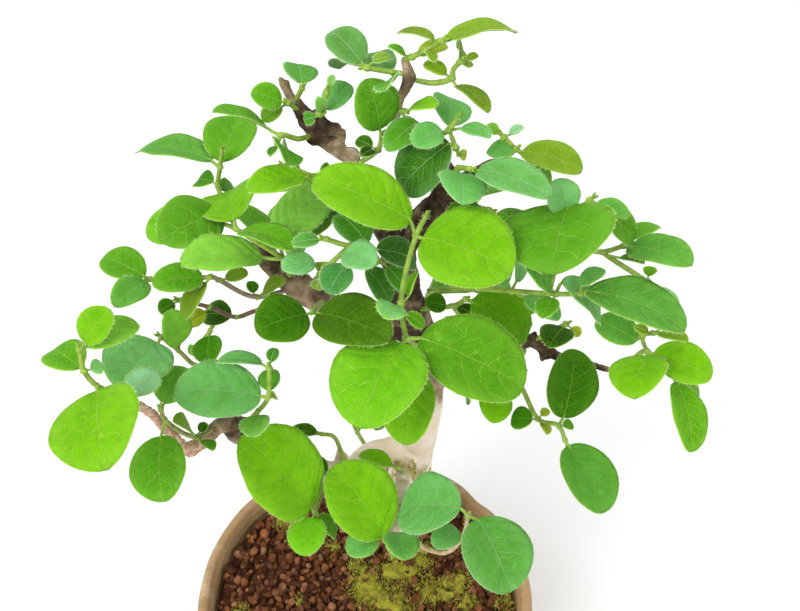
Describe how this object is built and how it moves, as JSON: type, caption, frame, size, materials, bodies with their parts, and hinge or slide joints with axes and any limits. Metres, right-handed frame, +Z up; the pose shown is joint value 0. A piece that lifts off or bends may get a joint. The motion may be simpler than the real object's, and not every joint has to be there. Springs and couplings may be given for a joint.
{
  "type": "potted bonsai tree",
  "caption": "Small leafy bonsai tree with round soft leaves in opposite pairs, growing in a round hand-made clay pot filled with clay granules.",
  "frame": {"origin": "centre of the pot's flat foot, which stands on the surface", "axes": "+Z up, -Y towards the side that the picture shows, +X to its right"},
  "size_m": [0.1774, 0.1547, 0.2607],
  "materials": {
    "clay": "matte",
    "soil": "matte",
    "bark": "matte",
    "leaf_lime": "satin",
    "leaf_mid": "satin",
    "leaf_blue": "satin",
    "leaf_dark": "satin"
  },
  "bodies": {
    "root": {"pot": "clay", "soil": "soil", "trunk_and_branches": "bark", "shoot_front_pair": "leaf_lime", "shoot_right_under": "leaf_dark", "shoot_centre_cluster": "leaf_blue", "shoot_dark_pair": "leaf_dark", "shoot_left_upper": "leaf_mid", "shoot_lime_left": "leaf_lime", "shoot_crown_left": "leaf_mid", "shoot_crown_left_top": "leaf_blue", "shoot_crown_left_front": "leaf_blue", "shoot_crown_left_low": "leaf_mid", "shoot_crown_big": "leaf_mid", "shoot_crown_centre": "leaf_blue", "shoot_lime_twig": "leaf_lime", "shoot_apex": "leaf_mid", "shoot_apex_left": "leaf_blue", "shoot_apex_right": "leaf_mid", "shoot_right_crown": "leaf_mid", "shoot_right_blue": "leaf_blue", "shoot_right_blue_low": "leaf_dark", "shoot_right_big": "leaf_mid", "shoot_right_low": "leaf_dark", "shoot_right_dark": "leaf_dark", "shoot_right_outer": "leaf_lime", "shoot_left_round": "leaf_mid", "shoot_left_mid_back": "leaf_dark", "shoot_left_mid_front": "leaf_mid", "shoot_left_edge": "leaf_lime", "shoot_lower_left": "leaf_mid", "shoot_left_front": "leaf_blue", "shoot_bottom_left": "leaf_lime", "shoot_bottom_knob": "leaf_dark", "shoot_bottom_centre": "leaf_lime", "shoot_bottom_back": "leaf_dark", "shoot_bottom_right": "leaf_blue", "shoot_far_crown": "leaf_mid", "shoot_far_upper_left": "leaf_mid", "shoot_far_upper_right": "leaf_mid", "shoot_far_left": "leaf_mid", "shoot_far_middle": "leaf_mid", "shoot_far_right": "leaf_mid", "shoot_far_low_left": "leaf_mid", "shoot_far_low_right": "leaf_mid"}
  },
  "joints": []
}
